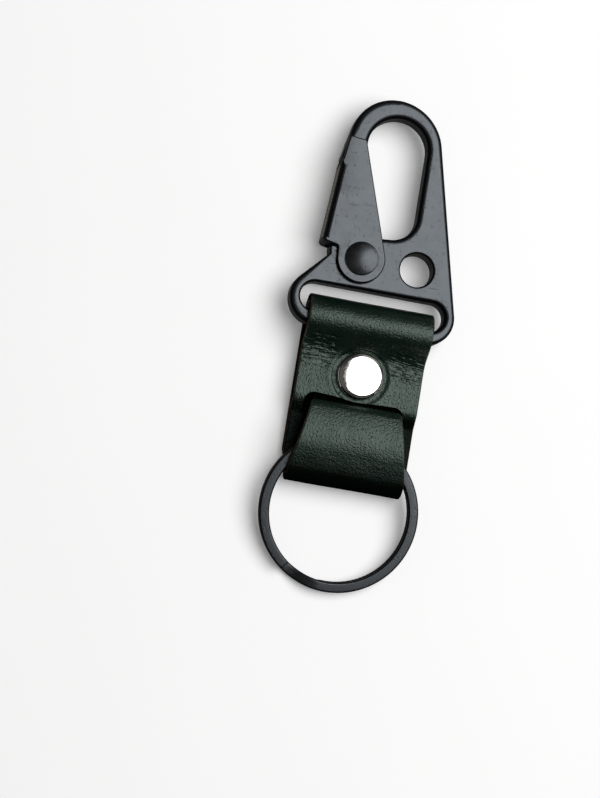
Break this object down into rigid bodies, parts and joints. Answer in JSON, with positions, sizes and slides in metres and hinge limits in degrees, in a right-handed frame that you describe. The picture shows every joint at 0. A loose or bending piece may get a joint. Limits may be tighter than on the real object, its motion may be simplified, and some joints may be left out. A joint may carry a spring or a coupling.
{
  "type": "belt key clip",
  "caption": "Snap hook with a sprung gate on a folded leather strap, which a rivet closes round a split ring for keys.",
  "frame": {"origin": "middle of the bottom of the box round the clip as it lies on its back", "axes": "+Y from the ring to the hook's nose, +Z out of the hook's front face, +X to the right with the gate on the left"},
  "size_m": [0.0338, 0.1002, 0.009],
  "materials": {
    "hook_body": "satin black on cast zinc",
    "gate": "satin black on steel sheet",
    "gate_pivot_rivet": "satin black on steel",
    "gate_spring": "bright spring wire",
    "leather_strap": "dark green, fine grain, satin",
    "rivet_cap": "polished nickel",
    "rivet_post": "plain nickel",
    "split_ring": "black nickel, satin"
  },
  "bodies": {
    "hook": {"hook_body": "hook_body", "gate_pivot_rivet": "gate_pivot_rivet", "gate_spring": "gate_spring"},
    "gate": {"gate": "gate"},
    "strap": {"leather_strap": "leather_strap", "rivet_cap": "rivet_cap", "rivet_post": "rivet_post"},
    "ring": {"split_ring": "split_ring"}
  },
  "joints": [
    {"name": "gate_pivot", "type": "hinge", "parent": "hook", "child": "gate", "pos_m": [-0.00405, 0.01637, 0.0045], "axis": [0, 0, 1], "range_deg": [-30, 0], "stiffness_Nm_per_rad": 0.05, "springref_deg": 40.11, "deforming": ["gate_spring"]},
    {"name": "strap_swing", "type": "hinge", "parent": "hook", "child": "strap", "pos_m": [0, 0.00322, 0.0045], "axis": [1, 0, 0], "range_deg": [-90, 90]},
    {"name": "ring_spin", "type": "hinge", "parent": "strap", "child": "ring", "pos_m": [0.0002, -0.03408, 0.00342], "axis": [0, -0.1349, 0.9909], "continuous": true}
  ]
}
